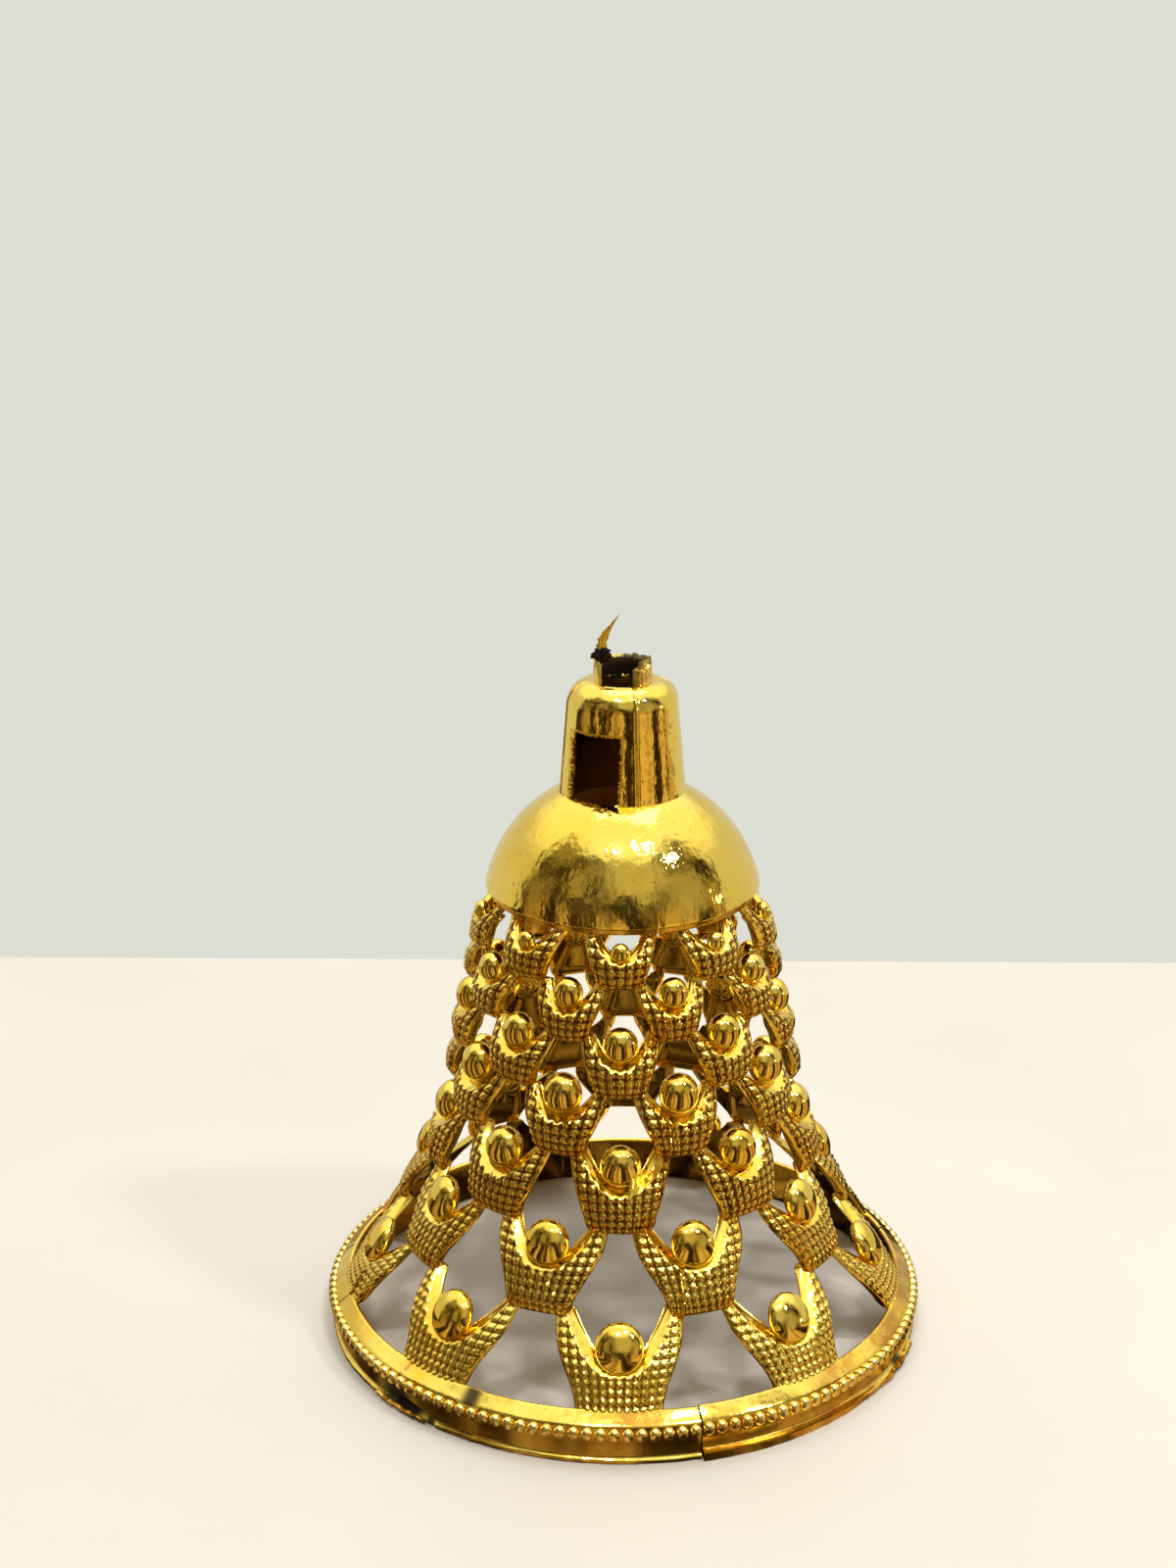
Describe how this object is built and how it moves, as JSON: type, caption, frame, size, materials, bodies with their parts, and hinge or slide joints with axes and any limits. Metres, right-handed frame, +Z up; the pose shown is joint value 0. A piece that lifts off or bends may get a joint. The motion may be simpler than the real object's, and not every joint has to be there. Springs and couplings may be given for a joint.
{
  "type": "bell ornament",
  "caption": "Openwork bell ornament of staggered cups and balls on a beaded rim, with a plain dome, a windowed hollow neck and a broken hanger stub.",
  "frame": {"origin": "on the table under the bell's axis", "axes": "+Z up along the bell's axis; -Y towards the front, where one cup of the lowest row is centred"},
  "size_m": [0.051, 0.051, 0.0612],
  "materials": {
    "plated_plain": "mirror-bright gold plating on smooth plastic",
    "plated_dotted": "bright gold plating over a grid of small raised dots",
    "plated_ball": "mirror-bright gold plating on small balls and beads",
    "plated_rim": "bright gold plating, slightly scuffed",
    "plated_deep": "thin gold plating, orange-brown where it is worn",
    "torn_edge": "torn plating over bare dark plastic"
  },
  "bodies": {
    "root": {"torn_wisp": "torn_edge", "hanger_stub": "torn_edge", "neck": "plated_plain", "dome": "plated_plain", "collar": "plated_deep", "cup_row_1": "plated_dotted", "cup_row_2": "plated_dotted", "cup_row_3": "plated_dotted", "cup_row_4": "plated_dotted", "cup_row_5": "plated_dotted", "cup_row_6": "plated_dotted", "cup_row_7": "plated_dotted", "ball_row_1": "plated_ball", "ball_row_2": "plated_ball", "ball_row_3": "plated_ball", "ball_row_4": "plated_ball", "ball_row_5": "plated_ball", "ball_row_6": "plated_ball", "ball_row_7": "plated_ball", "rim_front": "plated_rim", "rim_right": "plated_rim", "rim_back": "plated_rim", "rim_left": "plated_rim", "beads_front": "plated_ball", "beads_right": "plated_ball", "beads_back": "plated_ball", "beads_left": "plated_ball", "flash_right": "plated_deep", "flash_left": "plated_deep"}
  },
  "joints": []
}
